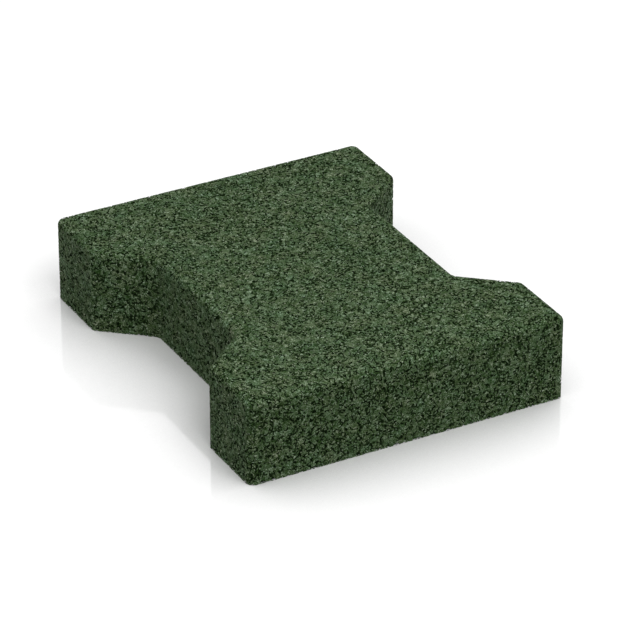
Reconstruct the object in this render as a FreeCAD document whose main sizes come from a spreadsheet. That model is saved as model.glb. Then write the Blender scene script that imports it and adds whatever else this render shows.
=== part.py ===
"""Interlocking paver of bound rubber granulate, in millimetres.

One moulded block in plan like the letter I: two heads joined by a narrower waist, with
slanted shoulders between them. Pavers of one row stand head to head, and the two heads that
meet there fill the waist of the paver beside them.

Frame: origin at the centre of the underside, X across the heads, Y along the block, Z up.
"""

import FreeCAD
import Part
import math
import os
import Sketcher

TOLERANCE = 1e-4

# The driving dimensions, in millimetres.
DIMENSIONS = {
    "block_length": 200.0,  # over both heads
    "head_width": 165.0,  # across a head
    "block_height": 43.0,
    "waist_inset": 25.0,  # from a head's flank in to the waist's side
    "shoulder_run": 21.0,  # length that a slanted shoulder takes along the block
    "joint_gap": 0.5,  # room left between one paver and the next, on every side
    "corner_radius": 4.0,  # upright edges of the heads and shoulders
    "tread_edge_radius": 3.0,  # edge round the walking face
}

# Two heads, end to end, drop into the waist beside them. Their flanks are as long as leaves
# the joint gap between the two ends, and square to every other face. On the slanted shoulders
# a gap that is square to the slope moves the shoulder along the block by the slack.
SHOULDER_SLACK = (
    "Dimensions.joint_gap * (sqrt(Dimensions.shoulder_run ^ 2 + Dimensions.waist_inset ^ 2)"
    " - Dimensions.shoulder_run) / Dimensions.waist_inset"
)
FLANK_LENGTH = (
    "(Dimensions.block_length - 2 * Dimensions.shoulder_run - Dimensions.joint_gap"
    f" - 2 * {SHOULDER_SLACK}) / 4"
)

# Sketcher's numbers for an edge's start point, and for the axes of a sketch.
START = 1
ORIGIN_AXIS_X = -1
ORIGIN_AXIS_Y = -2


def dimension_sheet(document):
    """The spreadsheet that holds one aliased cell for each driving dimension."""
    sheet = document.addObject("Spreadsheet::Sheet", "Dimensions")
    for row, (name, value) in enumerate(DIMENSIONS.items(), start=1):
        sheet.set(f"A{row}", name)
        sheet.set(f"B{row}", str(value))
        sheet.setAlias(f"B{row}", name)
    document.recompute()
    return sheet


def outline_corners(sheet):
    """The twelve corners of the plan, clockwise from the far right one, as first drawn.

    A quarter of the length is only a first place for the foot of a shoulder. The sketch's
    constraints then move it to where the flank's length and the shoulder's run put it.
    """
    half_width = sheet.head_width / 2
    half_waist = half_width - sheet.waist_inset
    end = sheet.block_length / 2
    shoulder_foot = sheet.block_length / 4
    shoulder_top = shoulder_foot + sheet.shoulder_run
    right_side = [
        (half_width, end),
        (half_width, shoulder_top),
        (half_waist, shoulder_foot),
        (half_waist, -shoulder_foot),
        (half_width, -shoulder_top),
        (half_width, -end),
    ]
    left_side = [(-x, y) for x, y in reversed(right_side)]
    return right_side + left_side


def draw_outline(sketch, sheet):
    """Draws the plan as twelve lines and ties it to the sheet. Line i starts at corner i."""
    corners = outline_corners(sheet)
    count = len(corners)
    for start, end in zip(corners, corners[1:] + corners[:1]):
        line = Part.LineSegment(FreeCAD.Vector(*start), FreeCAD.Vector(*end))
        sketch.addGeometry(line, False)

    end_point = START + 1
    for line in range(count):
        following = (line + 1) % count
        sketch.addConstraint(
            Sketcher.Constraint("Coincident", line, end_point, following, START)
        )

    # Left and right halves mirror each other, and so do the near and far halves.
    for right in range(count // 2):
        left = count - 1 - right
        sketch.addConstraint(
            Sketcher.Constraint("Symmetric", right, START, left, START, ORIGIN_AXIS_Y)
        )
    for far in range(count // 4):
        near = count // 2 - 1 - far
        sketch.addConstraint(
            Sketcher.Constraint("Symmetric", far, START, near, START, ORIGIN_AXIS_X)
        )

    head_corner, shoulder_top, shoulder_foot = 0, 1, 2
    near_head_corner, far_left_corner = 5, 11
    sketch.addConstraint(Sketcher.Constraint("Vertical", head_corner))
    sizes = [
        ("DistanceX", far_left_corner, head_corner, "Dimensions.head_width"),
        ("DistanceY", near_head_corner, head_corner, "Dimensions.block_length"),
        ("DistanceY", shoulder_top, head_corner, FLANK_LENGTH),
        ("DistanceX", shoulder_foot, shoulder_top, "Dimensions.waist_inset"),
        ("DistanceY", shoulder_foot, shoulder_top, "Dimensions.shoulder_run"),
    ]
    for kind, low, high, expression in sizes:
        (low_x, low_y), (high_x, high_y) = corners[low], corners[high]
        drawn = high_x - low_x if kind == "DistanceX" else high_y - low_y
        constraint = sketch.addConstraint(
            Sketcher.Constraint(kind, low, START, high, START, drawn)
        )
        sketch.setExpression(f"Constraints[{constraint}]", expression)


def upright_edges(shape, sheet):
    """Names of the upright edges: those on the heads, and those at the feet of the shoulders."""
    half_waist = sheet.head_width / 2 - sheet.waist_inset
    outer, inner = [], []
    for number, edge in enumerate(shape.Edges, start=1):
        first, last = (vertex.Point for vertex in edge.Vertexes)
        if math.hypot(first.x - last.x, first.y - last.y) > TOLERANCE:
            continue
        at_waist = abs(abs(first.x) - half_waist) < TOLERANCE
        (inner if at_waist else outer).append(f"Edge{number}")
    return outer, inner


def top_face(shape):
    """Name of the face that lies highest."""
    heights = [face.CenterOfMass.z for face in shape.Faces]
    return f"Face{heights.index(max(heights)) + 1}"


def round_edges(body, name, base, edges, radius_expression):
    """Adds a fillet on the named edges or faces of a feature."""
    fillet = body.newObject("PartDesign::Fillet", name)
    fillet.Base = (base, edges)
    fillet.setExpression("Radius", radius_expression)
    body.Document.recompute()
    return fillet


def paver_body(document, sheet):
    """The moulded block: padded plan, rounded upright edges, rounded walking edge."""
    body = document.addObject("PartDesign::Body", "Paver")
    body.Label = "paver"
    base_plane = next(
        feature for feature in body.Origin.OriginFeatures if feature.Role == "XY_Plane"
    )

    outline = body.newObject("Sketcher::SketchObject", "Outline")
    outline.AttachmentSupport = (base_plane, [""])
    outline.MapMode = "FlatFace"
    draw_outline(outline, sheet)
    document.recompute()

    block = body.newObject("PartDesign::Pad", "Block")
    block.Profile = outline
    block.setExpression("Length", "Dimensions.block_height")
    document.recompute()

    outer, _ = upright_edges(block.Shape, sheet)
    heads = round_edges(body, "HeadCorners", block, outer, "Dimensions.corner_radius")

    # The hollow corners stay one joint gap wider than the corners that they receive.
    _, inner = upright_edges(heads.Shape, sheet)
    waist = round_edges(
        body,
        "WaistCorners",
        heads,
        inner,
        "Dimensions.corner_radius + Dimensions.joint_gap",
    )
    tread = round_edges(
        body,
        "TreadEdge",
        waist,
        [top_face(waist.Shape)],
        "Dimensions.tread_edge_radius",
    )
    body.Tip = tread
    document.recompute()
    return body


def check_document(document, bodies):
    """Stops with a plain message if any feature failed or a body isn't one sound solid."""
    for item in document.Objects:
        if "Invalid" in item.State or "Error" in item.State:
            raise RuntimeError(f"{item.Label} failed: {item.State}")
        if item.TypeId == "Sketcher::SketchObject" and item.solve() != 0:
            raise RuntimeError(f"{item.Label} doesn't solve")
    for body in bodies:
        shape = body.Shape
        if shape.isNull() or not shape.isValid() or len(shape.Solids) != 1:
            raise RuntimeError(f"{body.Label} isn't one valid solid")


def main():
    document = FreeCAD.newDocument("RubberPaver")
    sheet = dimension_sheet(document)
    bodies = [paver_body(document, sheet)]
    check_document(document, bodies)

    os.makedirs("parts", exist_ok=True)
    for body in bodies:
        body.Shape.exportStep(os.path.join("parts", f"{body.Label}.step"))
        box = body.Shape.BoundBox
        print(
            f"{body.Label}: {box.XLength:.2f} x {box.YLength:.2f} x {box.ZLength:.2f} mm,"
            f" {body.Shape.Volume / 1000:.1f} cm3"
        )


main()
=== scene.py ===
# %% [markdown]
# # A paving block of rubber granulate
#
# The block is made of crumbs of old tyre rubber, one to three millimetres across. The
# crumbs are stirred with a green binder and pressed in a steel mould. So its surface is two
# things at once: flat and straight as the mould, and open and crumbly as the granulate.
# This lesson keeps those two apart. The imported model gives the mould's exact shape, and
# Blender presses tens of thousands of crumbs against it from inside.
#
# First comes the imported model. Everything is placed from it, in metres.

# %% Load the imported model
import math

import bmesh
import bpy
import numpy as np
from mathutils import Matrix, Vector


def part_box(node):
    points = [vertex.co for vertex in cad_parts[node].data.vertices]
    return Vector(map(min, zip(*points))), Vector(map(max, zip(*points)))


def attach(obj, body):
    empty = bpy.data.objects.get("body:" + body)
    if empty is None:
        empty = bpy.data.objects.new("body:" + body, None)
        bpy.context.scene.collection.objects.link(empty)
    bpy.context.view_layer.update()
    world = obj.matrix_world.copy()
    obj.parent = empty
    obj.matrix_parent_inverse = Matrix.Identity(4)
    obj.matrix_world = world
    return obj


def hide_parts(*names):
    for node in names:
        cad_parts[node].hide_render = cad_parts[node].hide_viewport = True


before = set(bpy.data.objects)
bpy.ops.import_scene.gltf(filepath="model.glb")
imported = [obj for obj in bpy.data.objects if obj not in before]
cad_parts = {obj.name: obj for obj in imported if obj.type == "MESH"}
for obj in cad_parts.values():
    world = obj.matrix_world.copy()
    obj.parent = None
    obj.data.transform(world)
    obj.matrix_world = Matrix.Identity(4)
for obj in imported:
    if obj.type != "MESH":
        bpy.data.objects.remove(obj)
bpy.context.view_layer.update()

MILLIMETRE = 0.001
cad_low, cad_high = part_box("paver")
block_size = cad_high - cad_low
block_centre = (cad_high + cad_low) / 2
print("block", [round(side / MILLIMETRE, 2) for side in block_size], "mm")

# %% [markdown]
# ## The camera
#
# A long lens from nearly two metres away keeps the block's upright edges almost parallel,
# so that its proportions read true. The camera is placed by how far round the block it
# stands, how high it looks down from, and how far away it is. It aims a little to the near
# side of the block's centre. The soft box further down is placed by the same three numbers,
# so the helper that turns two angles into a way is written once.

# %% Place the camera
VIEW_TURN = math.radians(-28.55)
VIEW_RISE = math.radians(29.49)
VIEW_DISTANCE = 1.908
AIM_OFFSET = Vector((-0.36, -10.33, 0.27)) * MILLIMETRE
LENS = 232.0


def way_out(turn, rise):
    """The way out from the block, turned round from its near side and risen from the floor."""
    return Vector((
        math.sin(turn) * math.cos(rise),
        -math.cos(turn) * math.cos(rise),
        math.sin(rise),
    ))


def look_back(item, way):
    """Turns a camera or a lamp, placed along a way, to look back along it, and adds it."""
    item.rotation_euler = way.to_track_quat("Z", "Y").to_euler()
    bpy.context.scene.collection.objects.link(item)


towards_camera = way_out(VIEW_TURN, VIEW_RISE)
camera_data = bpy.data.cameras.new("camera")
camera_data.lens = LENS
camera = bpy.data.objects.new("camera", camera_data)
camera.location = block_centre + AIM_OFFSET + towards_camera * VIEW_DISTANCE
look_back(camera, towards_camera)
bpy.context.scene.camera = camera
bpy.context.scene.view_settings.view_transform = "Standard"
print("camera at", [round(place, 3) for place in camera.location])

# %% [markdown]
# ## Helpers for node trees
#
# Materials and Geometry Nodes are both trees of nodes, and writing them link by link is
# long. One helper adds a node, sets its options and fills its inputs. An input takes a
# plain value, or another node, whose first open output is then linked to it. Three small
# helpers name the sums that come up again and again, and the last one starts a material.

# %% Write nodes in one call
def first_output(node):
    """The output that a node shows first with its present options."""
    return next(socket for socket in node.outputs if socket.enabled)


def find_input(node, key):
    """An input by its place or by its name. Several types may share a name, and one is open."""
    if isinstance(key, int):
        return node.inputs[key]
    return next(socket for socket in node.inputs if socket.name == key and socket.enabled)


def add(tree, kind, inputs, **options):
    """Adds a node with its options set and its inputs filled or linked."""
    node = tree.nodes.new(kind)
    for option, value in options.items():
        setattr(node, option, value)
    for key, value in inputs.items():
        socket = find_input(node, key)
        if isinstance(value, bpy.types.Node):
            tree.links.new(first_output(value), socket)
        elif isinstance(value, bpy.types.NodeSocket):
            tree.links.new(value, socket)
        else:
            socket.default_value = value
    return node


def blend(tree, share, first, second, kind="FLOAT", **options):
    """Two numbers or colours mixed: all of the first at a share of 0, of the second at 1."""
    return add(tree, "ShaderNodeMix", {"Factor": share, "A": first, "B": second},
               data_type=kind, **options)


def times(tree, first, second):
    """The product of two numbers."""
    return add(tree, "ShaderNodeMath", {0: first, 1: second}, operation="MULTIPLY")


def stretch(tree, value, old, new=(0.0, 1.0)):
    """A number carried over from one range to another, and held at its ends."""
    return add(tree, "ShaderNodeMapRange", {"Value": value, "From Min": old[0], "From Max": old[1],
                                            "To Min": new[0], "To Max": new[1]})


def new_material(name):
    """An empty material with nodes, and its tree."""
    material = bpy.data.materials.new(name)
    material.use_nodes = True
    material.node_tree.nodes.clear()
    return material, material.node_tree


# %% [markdown]
# ## A dome and one soft box
#
# A small lamp would throw a hard shadow into the waist. A white dome lights the block from
# every side at once instead. With the dome alone the sides would all look alike, so one
# large soft box, high up and almost straight in front, makes the walking face and the near
# head end a little lighter. The two together show a surface that faces up in about the
# colour it is given.

# %% Light the scene
DOME_STRENGTH = 0.787
BOX_WATTS = 10.3
BOX_SIZE = 0.9
BOX_DISTANCE = 1.6
BOX_TURN = math.radians(-2)
BOX_RISE = math.radians(55)

world = bpy.data.worlds.new("white dome")
world.use_nodes = True
world.node_tree.nodes["Background"].inputs["Color"].default_value = (1, 1, 1, 1)
world.node_tree.nodes["Background"].inputs["Strength"].default_value = DOME_STRENGTH
bpy.context.scene.world = world

towards_box = way_out(BOX_TURN, BOX_RISE)
box_data = bpy.data.lights.new("soft box", "AREA")
box_data.energy = BOX_WATTS
box_data.size = BOX_SIZE
soft_box = bpy.data.objects.new("soft box", box_data)
soft_box.location = towards_box * BOX_DISTANCE
look_back(soft_box, towards_box)
print("lit by a dome and one soft box")

# %% [markdown]
# ## The floor
#
# The floor is a white, slightly polished sheet. Light Path tells which rays come from the
# camera or from something shiny. Those see a floor bright enough to be plain white, which
# still darkens where the block keeps the dome's light off it. All other rays meet a grey
# floor, so that the block's sides aren't lit from below as strongly as from above.
#
# The polish mirrors the block's foot. Far from the block it would mirror only the dome,
# which is greyer than the floor, so it has to fade out. An Ambient Occlusion node says how
# much of the sky a spot of floor sees within a set reach: all of it in the open, and half
# of it right beside the block. That number drives the share of polish.

# %% Lay the floor
FLOOR_REACH = 4.0
FLOOR_GAP = 0.05 * MILLIMETRE
FLOOR_WHITE = (0.95, 0.95, 0.95, 1)
FLOOR_BOUNCE = (0.115, 0.115, 0.115, 1)
FLOOR_GLOW = 0.16
FLOOR_POLISH = 0.48
FLOOR_HAZE = 0.08
POLISH_REACH = 85 * MILLIMETRE
SKY_TESTS = 8
SKY_BESIDE_BLOCK = 0.5
SKY_IN_THE_OPEN = 1.0

floor_material, tree = new_material("polished white floor")
rays = add(tree, "ShaderNodeLightPath", {}).outputs
seen = add(tree, "ShaderNodeMath", {0: rays["Is Camera Ray"], 1: rays["Is Glossy Ray"]},
           operation="MAXIMUM")
seen = add(tree, "ShaderNodeMath", {0: seen, 1: rays["Is Transmission Ray"]},
           operation="MAXIMUM")
bounce = add(tree, "ShaderNodeBsdfDiffuse", {"Color": FLOOR_BOUNCE})
white = add(tree, "ShaderNodeBsdfDiffuse", {"Color": FLOOR_WHITE})
glow = add(tree, "ShaderNodeEmission", {"Strength": FLOOR_GLOW})
bright = add(tree, "ShaderNodeAddShader", {0: white, 1: glow})
open_sky = add(tree, "ShaderNodeAmbientOcclusion", {"Distance": POLISH_REACH},
               samples=SKY_TESTS).outputs["AO"]
polish_share = stretch(tree, open_sky, (SKY_BESIDE_BLOCK, SKY_IN_THE_OPEN), (FLOOR_POLISH, 0.0))
polish = add(tree, "ShaderNodeBsdfGlossy", {"Roughness": FLOOR_HAZE})
polished = add(tree, "ShaderNodeMixShader", {0: polish_share, 1: bright, 2: polish})
surface = add(tree, "ShaderNodeMixShader", {0: seen, 1: bounce, 2: polished})
add(tree, "ShaderNodeOutputMaterial", {"Surface": surface})

floor_mesh = bpy.data.meshes.new("floor")
corners = [(x * FLOOR_REACH, y * FLOOR_REACH, cad_low.z - FLOOR_GAP)
           for x, y in ((-1, -1), (1, -1), (1, 1), (-1, 1))]
floor_mesh.from_pydata(corners, [], [(0, 1, 2, 3)])
floor_mesh.materials.append(floor_material)
floor = bpy.data.objects.new("floor", floor_mesh)
bpy.context.scene.collection.objects.link(floor)
print("floor", 2 * FLOOR_REACH, "m wide")

# %% [markdown]
# ## The mould
#
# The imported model's mesh is loose triangles that share no corners. A copy of it, welded,
# becomes the inside wall of the mould: a closed surface that can be scattered over,
# measured from and moved inwards. The wall could be drawn anew from its sizes, but a copy
# can't differ from the block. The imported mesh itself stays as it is.

# %% Weld a copy of the block
WELD = 0.001 * MILLIMETRE

welder = bmesh.new()
welder.from_mesh(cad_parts["paver"].data)
bmesh.ops.remove_doubles(welder, verts=welder.verts, dist=WELD)
mould_mesh = bpy.data.meshes.new("mould")
welder.to_mesh(mould_mesh)
open_edges = sum(not edge.is_manifold for edge in welder.edges)
welder.free()
mould_mesh.materials.clear()
print("mould", len(mould_mesh.polygons), "faces,", open_edges, "open edges")

# %% [markdown]
# ## How light each spot of a crumb is
#
# Every crumb was torn from another bit of rubber and got its own share of binder, and a
# torn face is never even. One noise over the whole block would mottle it too, but then
# neighbouring crumbs would melt into one another. So the tone, one number that the next
# cell turns into a colour, starts from the crumb. It is made of four things, from coarse
# to fine:
#
# - each crumb's own shade, and each facet's own random shade, which is partly painted light
#   and shade for facets turned differently to the light; the crumbs carry both as attributes;
# - chips, the cells of a Voronoi pattern, which looks its place up in a space bent by a
#   noise, so that the chips' borders aren't straight;
# - cracks between the chips, painted darker as the shade in a crevice, deep on some crumbs
#   and hardly there on others, as a number that each crumb carries says;
# - a grain finer than any chip, which also drives the roughness and the relief.
#
# All patterns read Object coordinates, so they stay where they are from every side.

# %% Work out the tone of the crumbs
FACET_SHARE = 0.6
CHIP_SHARE = 0.35
CHIP_SCALE = 1200
CHIP_WARP = 0.5 * MILLIMETRE
WARP_SCALE = 900
WARP_DETAIL = 1
# Painted shade: how wide and how dark the cracks between chips are drawn.
CRACK_SHADE_WIDTH = 0.18
CRACK_SHADE_TONE = 0.05
MIDDLE_TONE = 0.5
TONE_SPREAD = 0.58
GRAIN_SCALE = 2400
GRAIN_DETAIL = 2
GRAIN_DEPTH = 0.8
NOISE_RANGE = (0.3, 0.7)  # nearly all of a noise lies between these


def carried(tree, name):
    """A number that the crumbs carry."""
    return add(tree, "ShaderNodeAttribute", {}, attribute_name=name).outputs["Fac"]


crumb_material, tree = new_material("rubber crumbs")
place = add(tree, "ShaderNodeTexCoord", {}).outputs["Object"]
swirl = add(tree, "ShaderNodeTexNoise",
            {"Vector": place, "Scale": WARP_SCALE, "Detail": WARP_DETAIL})
offset = add(tree, "ShaderNodeVectorMath", {0: swirl.outputs["Color"], "Scale": CHIP_WARP},
             operation="SCALE")
bent = add(tree, "ShaderNodeVectorMath", {0: place, 1: offset}, operation="ADD")
chips = add(tree, "ShaderNodeTexVoronoi", {"Vector": bent, "Scale": CHIP_SCALE})
chip = add(tree, "ShaderNodeSeparateColor", {"Color": chips.outputs["Color"]}).outputs["Red"]
# Painted shade in the cracks: near a chip's edge the tone falls towards the crevice green, as deep
# as each crumb's number says.
to_shaded_crack = add(tree, "ShaderNodeTexVoronoi", {"Vector": bent, "Scale": CHIP_SCALE},
               feature="DISTANCE_TO_EDGE")
crack_shade = stretch(tree, to_shaded_crack, (0.0, CRACK_SHADE_WIDTH), (CRACK_SHADE_TONE, 1.0))
crack_shade = blend(tree, carried(tree, "crumb_crack_shade"), 1.0, crack_shade)
grain = add(tree, "ShaderNodeTexNoise",
            {"Vector": place, "Scale": GRAIN_SCALE, "Detail": GRAIN_DETAIL})
mottle = stretch(tree, grain, NOISE_RANGE, (1 - GRAIN_DEPTH, 1 + GRAIN_DEPTH))

# Each facet's shade is partly painted light, standing in for facets turned differently to the
# light.
tone = blend(tree, FACET_SHARE, carried(tree, "crumb_shade"), carried(tree, "facet_tone_and_shading"))
tone = blend(tree, CHIP_SHARE, tone, chip)
tone = stretch(tree, tone, (MIDDLE_TONE - TONE_SPREAD, MIDDLE_TONE + TONE_SPREAD))
tone = times(tree, times(tree, tone, mottle), crack_shade)
print("tone worked out with", len(tree.nodes), "nodes")

# %% [markdown]
# ## The colour of the crumbs
#
# A ramp of five greens turns tone into colour: the green-black of a crevice's painted shade,
# the binder in the shade, the binder in the light, thinly coated rubber, and dusty rubber,
# whose palest flecks also stand for painted highlights. The darker the green, the purer it
# is. A slow noise leans whole patches to a colder green or to the brown of bare rubber, and
# each crumb's own number leans it a little further.
#
# Rubber that was torn and never polished has almost no shine. The reflectance is near zero,
# because a normal one lays a grey veil over the sides that are seen at a shallow angle.

# %% Paint the crumbs
# Painted shade: the green-black that the painted cracks reach, as binder looks deep in a shaded
# crevice.
CREVICE_SHADE_GREEN = (0.002, 0.011, 0.0005, 1)
GREENS_BETWEEN = {
    0.15: (0.014, 0.040, 0.004, 1),
    0.50: (0.094, 0.145, 0.073, 1),
    0.76: (0.150, 0.208, 0.127, 1),
}
# Pale dusty rubber, whose brightest flecks also stand for painted highlights on facets.
DUSTY_AND_HIGHLIGHT_GREEN = (0.360, 0.445, 0.330, 1)
COLD_TINT = (0.89, 1.01, 0.98, 1)
BROWN_TINT = (1.11, 0.975, 0.955, 1)
PATCH_SCALE = 110
PATCH_DETAIL = 3
LEAN_SHARE = 0.35
ROUGHNESS_RANGE = (0.45, 0.8)
RELIEF = 0.15 * MILLIMETRE
RELIEF_STRENGTH = 0.6
CRUMB_GLOSS = 0.05

ramp = add(tree, "ShaderNodeValToRGB", {"Fac": tone})
stops = ramp.color_ramp.elements
stops[0].color = CREVICE_SHADE_GREEN
stops[1].color = DUSTY_AND_HIGHLIGHT_GREEN
for position, green in GREENS_BETWEEN.items():
    stops.new(position).color = green

patches = add(tree, "ShaderNodeTexNoise",
              {"Vector": place, "Scale": PATCH_SCALE, "Detail": PATCH_DETAIL})
patch_lean = stretch(tree, patches, NOISE_RANGE)
lean = blend(tree, LEAN_SHARE, patch_lean, carried(tree, "crumb_lean"))
tint = blend(tree, lean, COLD_TINT, BROWN_TINT, "RGBA")
colour = blend(tree, 1.0, ramp, tint, "RGBA", blend_type="MULTIPLY")
roughness = stretch(tree, grain, NOISE_RANGE, ROUGHNESS_RANGE)
relief = add(tree, "ShaderNodeBump", {"Height": grain, "Distance": RELIEF,
                                      "Strength": RELIEF_STRENGTH})
rubber = add(tree, "ShaderNodeBsdfPrincipled",
             {"Base Color": colour, "Roughness": roughness, "Specular IOR Level": CRUMB_GLOSS,
              "Normal": relief})
add(tree, "ShaderNodeOutputMaterial", {"Surface": rubber})
print("painted", crumb_material.name)

# %% [markdown]
# ## The crumbs behind them
#
# Through the gaps between the outermost crumbs one sees the next layer, which is in the
# dark. A second layer of real crumbs would double the meshes for what hardly shows, so a
# pattern stands for it, with its shade painted in: Voronoi cells give each buried crumb a
# dark shade, and the distance to a cell's edge draws darker seams, painted shade between
# the crumbs.

# %% Paint the buried crumbs
BURIED_SCALE = 1000
# Painted shade: both colours are the crumbs' greens darkened as if deep in the gaps.
BURIED_DEEP_SHADE = (0.002, 0.006, 0.001, 1)
BURIED_SOFT_SHADE = (0.034, 0.060, 0.024, 1)
BURIED_ROUGHNESS = 0.9
SHADED_SEAM_WIDTH = 0.2

buried_shade_material, tree = new_material("buried crumbs in painted shade")
place = add(tree, "ShaderNodeTexCoord", {}).outputs["Object"]
cells = add(tree, "ShaderNodeTexVoronoi", {"Vector": place, "Scale": BURIED_SCALE})
shade = add(tree, "ShaderNodeSeparateColor", {"Color": cells.outputs["Color"]}).outputs["Red"]
to_shaded_seam = add(tree, "ShaderNodeTexVoronoi", {"Vector": place, "Scale": BURIED_SCALE},
              feature="DISTANCE_TO_EDGE")
buried = blend(tree, shade, BURIED_DEEP_SHADE, BURIED_SOFT_SHADE, "RGBA")
colour = blend(tree, stretch(tree, to_shaded_seam, (0.0, SHADED_SEAM_WIDTH)), BURIED_DEEP_SHADE, buried, "RGBA")
rubber = add(tree, "ShaderNodeBsdfPrincipled",
             {"Base Color": colour, "Roughness": BURIED_ROUGHNESS, "Specular IOR Level": 0.0})
add(tree, "ShaderNodeOutputMaterial", {"Surface": rubber})
print("painted", buried_shade_material.name)

# %% [markdown]
# ## The core
#
# One closed body, half a millimetre inside the mould's wall, carries the buried crumbs and
# keeps light from shining through the block. A copy of the wall scaled down would be deeper
# at the heads than at the waist, so each corner of the wall is moved inwards instead. It
# moves by more than the depth, so that the faces on both sides of it move by just that
# depth: the shell factor is how much more.

# %% Make the core
CORE_DEPTH = 0.5 * MILLIMETRE

shrinker = bmesh.new()
shrinker.from_mesh(mould_mesh)
for vertex in shrinker.verts:
    vertex.co -= vertex.normal * vertex.calc_shell_factor() * CORE_DEPTH
core_mesh = bpy.data.meshes.new("packed_core")
shrinker.to_mesh(core_mesh)
shrinker.free()
core_mesh.materials.append(buried_shade_material)
core = bpy.data.objects.new("packed_core", core_mesh)
bpy.context.scene.collection.objects.link(core)
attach(core, "root")
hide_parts("paver")
print("core", [round(side / MILLIMETRE, 2) for side in core.dimensions], "mm")

# %% [markdown]
# ## The kinds of crumb
#
# A shredder tears rubber into angular bits with flat facets and sharp corners. Modelling
# them one by one would never end, and a bump pattern would leave the block's edges smooth.
# The convex hull of a few random points is just such a bit, so Geometry Nodes makes several
# kinds of crumb that way, of a dozen triangles at most. A kind's number is its seed.

# %% Describe the kinds of crumb
CRUMB_KINDS = 12
CRUMB_POINTS = 8


def crumb_kind(tree, seed):
    """The convex hull of random points in a box two units wide, as one instance."""
    point = add(tree, "FunctionNodeRandomValue",
                {"Min": (-1, -1, -1), "Max": (1, 1, 1), "Seed": seed},
                data_type="FLOAT_VECTOR")
    points = add(tree, "GeometryNodePoints", {"Count": CRUMB_POINTS, "Position": point})
    hull = add(tree, "GeometryNodeConvexHull", {"Geometry": points})
    return add(tree, "GeometryNodeGeometryToInstance", {"Geometry": hull})


def crumb_kinds(tree):
    """All the kinds, to pick from."""
    kinds = tree.nodes.new("GeometryNodeJoinGeometry")
    for seed in range(CRUMB_KINDS):
        tree.links.new(first_output(crumb_kind(tree, seed)), kinds.inputs["Geometry"])
    return kinds


print(CRUMB_KINDS, "kinds of crumb from", CRUMB_POINTS, "points each")

# %% [markdown]
# ## Random choices
#
# Whatever else is left to chance has a seed of its own. With fixed seeds the block comes
# out the same every time, and with separate ones no two choices go together by accident,
# such as a crumb's size with its colour.

# %% Give each random choice its seed
SEEDS = {"place": 1, "crumb_shade": 2, "crumb_lean": 3, "size": 4, "depth": 5, "turn": 6,
         "proportions": 7, "kind": 8, "facet_tone_and_shading": 9, "inset": 10, "crumb_crack_shade": 11}


def dice(tree, low, high, choice):
    """A random number between low and high for each point, corner or facet."""
    return add(tree, "FunctionNodeRandomValue", {"Min": low, "Max": high, "Seed": SEEDS[choice]},
               data_type="FLOAT")


def dice_vector(tree, low, high, choice):
    """Three random numbers for each point, all between low and high."""
    return add(tree, "FunctionNodeRandomValue",
               {"Min": (low, low, low), "Max": (high, high, high), "Seed": SEEDS[choice]},
               data_type="FLOAT_VECTOR")


print(len(SEEDS), "random choices")

# %% [markdown]
# ## The four meshes of the block
#
# All crumbs together are half a million triangles, too heavy for one mesh. They are shared
# out by the face of the block that they lie on: the walking face, the underside, the two
# head ends, and the flanks with the waist. Each time the same points are scattered and
# those of the other faces are thrown away, so the meshes meet without a seam.
#
# The way that the wall faces tells which face it is. The upper part of the rounded edge
# counts as walking face. The slanted shoulders face along the block by a share of 0.77, and
# the limit for a head end is just above that, so they go with the flanks.

# %% Tell the faces of the block apart
FACE_OF_BLOCK = {"walking_face": 0, "underside": 1, "head_ends": 2, "flanks": 3}
LEVEL_SHARE = 0.5
END_SHARE = 0.8


def is_over(tree, value, limit):
    """Whether a number is greater than a limit."""
    return add(tree, "FunctionNodeCompare", {"A": value, "B": limit},
               data_type="FLOAT", operation="GREATER_THAN")


def choose(tree, condition, when_true, otherwise):
    """One of two whole numbers."""
    return add(tree, "GeometryNodeSwitch",
               {"Switch": condition, "False": otherwise, "True": when_true}, input_type="INT")


def face_number(tree, normal):
    """Which face of the block a point belongs to, from the way that the wall faces there."""
    way = add(tree, "ShaderNodeSeparateXYZ", {"Vector": normal}).outputs
    along = add(tree, "ShaderNodeMath", {0: way["Y"]}, operation="ABSOLUTE")
    down = times(tree, way["Z"], -1.0)
    number = choose(tree, is_over(tree, along, END_SHARE),
                    FACE_OF_BLOCK["head_ends"], FACE_OF_BLOCK["flanks"])
    number = choose(tree, is_over(tree, down, LEVEL_SHARE), FACE_OF_BLOCK["underside"], number)
    return choose(tree, is_over(tree, way["Z"], LEVEL_SHARE),
                  FACE_OF_BLOCK["walking_face"], number)


print("faces", list(FACE_OF_BLOCK))

# %% [markdown]
# ## The sizes of the granulate
#
# The tree takes its sizes as named inputs, and this table fills them. Crumbs that fall
# anywhere lie in heaps with holes between them, so each is tried at a random place, and the
# spacing refuses those that are too near to another. A crumb's reach goes from its centre
# to the side of the box that it is cut from. Its centre lies between the shallowest and the
# deepest place under the wall. The shallowest is negative, which is outside the wall, and
# pressing flattens such a crumb the most.

# %% List the sizes of the granulate
GRANULATE_SIZES = {
    "Spacing": 0.97 * MILLIMETRE,
    "Tries per square metre": 3.0e6,
    "Smallest reach": 0.72 * MILLIMETRE,
    "Largest reach": 1.6 * MILLIMETRE,
    "Rarity of large crumbs": 1.5,
    "Shallowest": -0.45 * MILLIMETRE,
    "Deepest": 0.15 * MILLIMETRE,
    "Least spring back": 0.005 * MILLIMETRE,
    "Most spring back": 0.06 * MILLIMETRE,
}
print("crumbs at least", GRANULATE_SIZES["Spacing"] / MILLIMETRE, "mm apart")

# %% [markdown]
# ## Scattering
#
# Small crumbs are common and large ones rare, so the random number that sets the size is
# raised to a power. A crumb keeps the random numbers of the point it is set on. The
# instances are made real at once, because only real facets can carry a shade of their own,
# partly painted light, and only real corners can be pressed.

# %% Scatter the crumbs
LEAST_STRETCH = 0.6
MOST_STRETCH = 1.3


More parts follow.
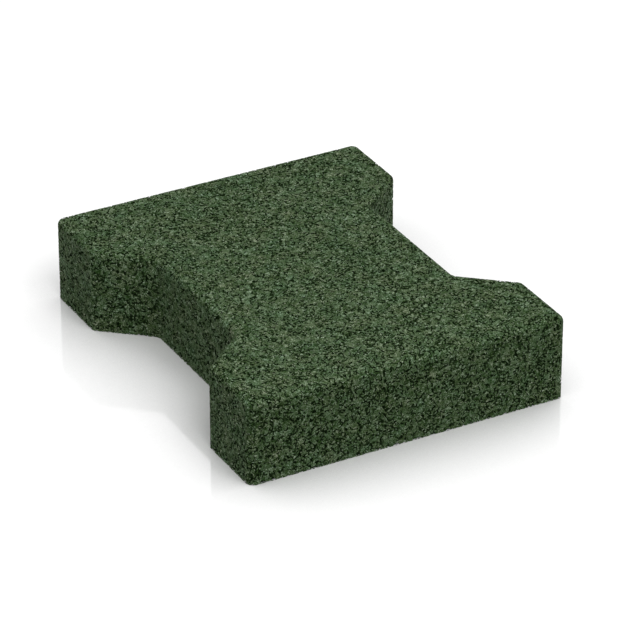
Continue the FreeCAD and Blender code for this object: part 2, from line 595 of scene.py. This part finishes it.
def scatter_centres(tree, given):
    """Points on one face of the block, moved in or out of the wall."""
    scatter = add(tree, "GeometryNodeDistributePointsOnFaces",
                  {"Mesh": given["Mould"], "Distance Min": given["Spacing"],
                   "Density Max": given["Tries per square metre"], "Seed": SEEDS["place"]},
                  distribute_method="POISSON")
    number = face_number(tree, scatter.outputs["Normal"])
    elsewhere = add(tree, "FunctionNodeCompare", {"A": number, "B": given["Face"]},
                    data_type="INT", operation="NOT_EQUAL")
    centres = add(tree, "GeometryNodeDeleteGeometry",
                  {"Geometry": scatter, "Selection": elsewhere}, domain="POINT")
    # The third number sets how deep the painted shade in a crumb's cracks is.
    for name in ("crumb_shade", "crumb_lean", "crumb_crack_shade"):
        centres = add(tree, "GeometryNodeStoreNamedAttribute",
                      {"Geometry": centres, "Name": name, "Value": dice(tree, 0.0, 1.0, name)},
                      data_type="FLOAT", domain="POINT")
    depth = dice(tree, given["Shallowest"], given["Deepest"], "depth")
    sink = add(tree, "ShaderNodeVectorMath",
               {0: scatter.outputs["Normal"], "Scale": times(tree, depth, -1.0)},
               operation="SCALE")
    return add(tree, "GeometryNodeSetPosition", {"Geometry": centres, "Offset": sink})


def set_crumbs(tree, centres, given):
    """A crumb on each point, turned, stretched and made real."""
    chance = dice(tree, 0.0, 1.0, "size")
    rare = add(tree, "ShaderNodeMath", {0: chance, 1: given["Rarity of large crumbs"]},
               operation="POWER")
    reach = stretch(tree, rare, (0.0, 1.0), (given["Smallest reach"], given["Largest reach"]))
    proportions = dice_vector(tree, LEAST_STRETCH, MOST_STRETCH, "proportions")
    size = add(tree, "ShaderNodeVectorMath", {0: proportions, "Scale": reach}, operation="SCALE")
    kind = add(tree, "FunctionNodeRandomValue",
               {"Min": 0, "Max": CRUMB_KINDS - 1, "Seed": SEEDS["kind"]}, data_type="INT")
    crumbs = add(tree, "GeometryNodeInstanceOnPoints",
                 {"Points": centres, "Instance": crumb_kinds(tree), "Pick Instance": True,
                  "Instance Index": kind, "Rotation": dice_vector(tree, 0.0, math.tau, "turn"),
                  "Scale": size})
    crumbs = add(tree, "GeometryNodeRealizeInstances", {"Geometry": crumbs})
    # Each facet gets a random shade, which also paints in the light and shade of facets turned
    # differently.
    return add(tree, "GeometryNodeStoreNamedAttribute",
               {"Geometry": crumbs, "Name": "facet_tone_and_shading",
                "Value": dice(tree, 0.0, 1.0, "facet_tone_and_shading")},
               data_type="FLOAT", domain="FACE")


print("crumbs stretched by", LEAST_STRETCH, "to", MOST_STRETCH)

# %% [markdown]
# ## Pressing
#
# In the press the steel wall pushes back every corner that would stick out, and that leaves
# the flat, closely set faces that make the block's sides straight. Cutting the crumbs off
# at the wall would make such flats too, but a cut through so many is slow. So each crumb's
# corner is measured against the nearest spot of the mould. If it lies outside, it moves to
# that spot, less a hair's breadth: rubber springs back unevenly when the mould opens. The
# small unevenness also keeps crumbs that overlap from lying in exactly one plane.

# %% Press the corners and put the tree together
def press_into(tree, geometry, given):
    """Moves each corner that is outside the mould to just inside the nearest spot of its wall."""
    place = add(tree, "GeometryNodeInputPosition", {})
    nearest = add(tree, "GeometryNodeProximity", {"Geometry": given["Mould"]},
                  target_element="FACES")
    facing = add(tree, "GeometryNodeFieldOnDomain",
                 {"Value": add(tree, "GeometryNodeInputNormal", {})},
                 data_type="FLOAT_VECTOR", domain="FACE")
    wall = add(tree, "GeometryNodeSampleNearestSurface",
               {"Mesh": given["Mould"], "Value": facing}, data_type="FLOAT_VECTOR")
    beyond = add(tree, "ShaderNodeVectorMath", {0: place, 1: nearest}, operation="SUBTRACT")
    height = add(tree, "ShaderNodeVectorMath", {0: beyond, 1: wall}, operation="DOT_PRODUCT")
    inset = dice(tree, given["Least spring back"], given["Most spring back"], "inset")
    level = times(tree, inset, -1.0)
    back = add(tree, "ShaderNodeVectorMath", {0: wall, "Scale": level}, operation="SCALE")
    inside = add(tree, "ShaderNodeVectorMath", {0: nearest, 1: back}, operation="ADD")
    return add(tree, "GeometryNodeSetPosition",
               {"Geometry": geometry, "Position": inside,
                "Selection": is_over(tree, height.outputs["Value"], level)})


def granulate_tree():
    """Scatters crumbs over the mould's wall and presses them flat against it."""
    tree = bpy.data.node_groups.new("pressed granulate", "GeometryNodeTree")
    socket = tree.interface.new_socket
    socket("Mould", in_out="INPUT", socket_type="NodeSocketGeometry")
    for name in GRANULATE_SIZES:
        socket(name, in_out="INPUT", socket_type="NodeSocketFloat")
    socket("Face", in_out="INPUT", socket_type="NodeSocketInt")
    socket("Material", in_out="INPUT", socket_type="NodeSocketMaterial")
    socket("Crumbs", in_out="OUTPUT", socket_type="NodeSocketGeometry")
    given = tree.nodes.new("NodeGroupInput").outputs
    crumbs = set_crumbs(tree, scatter_centres(tree, given), given)
    crumbs = press_into(tree, crumbs, given)
    crumbs = add(tree, "GeometryNodeSetMaterial",
                 {"Geometry": crumbs, "Material": given["Material"]})
    add(tree, "NodeGroupOutput", {"Crumbs": crumbs})
    return tree


granulate = granulate_tree()
print("tree with", len(granulate.nodes), "nodes")

# %% [markdown]
# ## Running the tree
#
# A modifier on the mould's mesh runs the tree. Its inputs are known by identifiers, not by
# the names that a person reads, so a helper looks them up. The result is copied out as a
# plain mesh and the modifier goes, so that nothing is worked out anew later.

# %% Run the tree for one face
def socket_id(tree, name):
    """The identifier of a tree's named input, by which a modifier knows it."""
    return next(item.identifier for item in tree.interface.items_tree
                if item.item_type == "SOCKET" and item.in_out == "INPUT" and item.name == name)


def pressed(name, face):
    """One face of the block as a plain mesh of crumbs."""
    piece = bpy.data.objects.new(name, mould_mesh)
    bpy.context.scene.collection.objects.link(piece)
    modifier = piece.modifiers.new("granulate", "NODES")
    modifier.node_group = granulate
    for key, value in {**GRANULATE_SIZES, "Face": face, "Material": crumb_material}.items():
        modifier[socket_id(granulate, key)] = value
    evaluated = piece.evaluated_get(bpy.context.evaluated_depsgraph_get())
    mesh = bpy.data.meshes.new_from_object(evaluated)
    mesh.name = name
    piece.modifiers.remove(modifier)
    piece.data = mesh
    return piece


print("the tree's first input is", socket_id(granulate, "Mould"))

# %% [markdown]
# ## A flat map for baked colours
#
# The materials need no map, but a program that knows only textures does. Unwrapping half a
# million triangles one by one would leave each a few dots of colour. Each mesh lies along
# one flat face or two opposite ones, so a straight look at the face maps it well: the two
# axes that it runs along, as shares of the block's size. Of two opposite faces, each takes
# half of the map.

# %% Map a mesh by looking straight at it
X, Y, Z = 0, 1, 2
MAPS = {"walking_face": (X, Y, None), "underside": (X, Y, None), "head_ends": (X, Z, Y),
        "flanks": (Y, Z, X)}


def lay_flat(mesh, across, up, apart):
    """Maps a mesh by two axes. Where there is a third, it tells two opposite faces apart."""
    count = len(mesh.vertices)
    places = np.empty(count * 3, np.float32)
    mesh.vertices.foreach_get("co", places)
    places = (places.reshape(count, 3) - np.array(cad_low)) / np.array(block_size)
    flat = places[:, (across, up)].copy()
    if apart is not None:
        past_middle = places[:, apart] > 0.5
        flat[:, 1] = (flat[:, 1] + past_middle) / 2
    corners = np.empty(len(mesh.loops), np.int32)
    mesh.loops.foreach_get("vertex_index", corners)
    layer = mesh.uv_layers.new(name="OFBake")
    layer.uv.foreach_set("vector", flat[corners].ravel())


print("maps for", list(MAPS))

# %% [markdown]
# ## The pressed block
#
# Now each face is made in turn. It rides on the block's one body.

# %% Press the four faces of the block
for name, face in FACE_OF_BLOCK.items():
    piece = pressed(name + "_crumbs", face)
    lay_flat(piece.data, *MAPS[name])
    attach(piece, "root")
    triangles = sum(len(polygon.vertices) - 2 for polygon in piece.data.polygons)
    print(piece.name, triangles, "triangles")
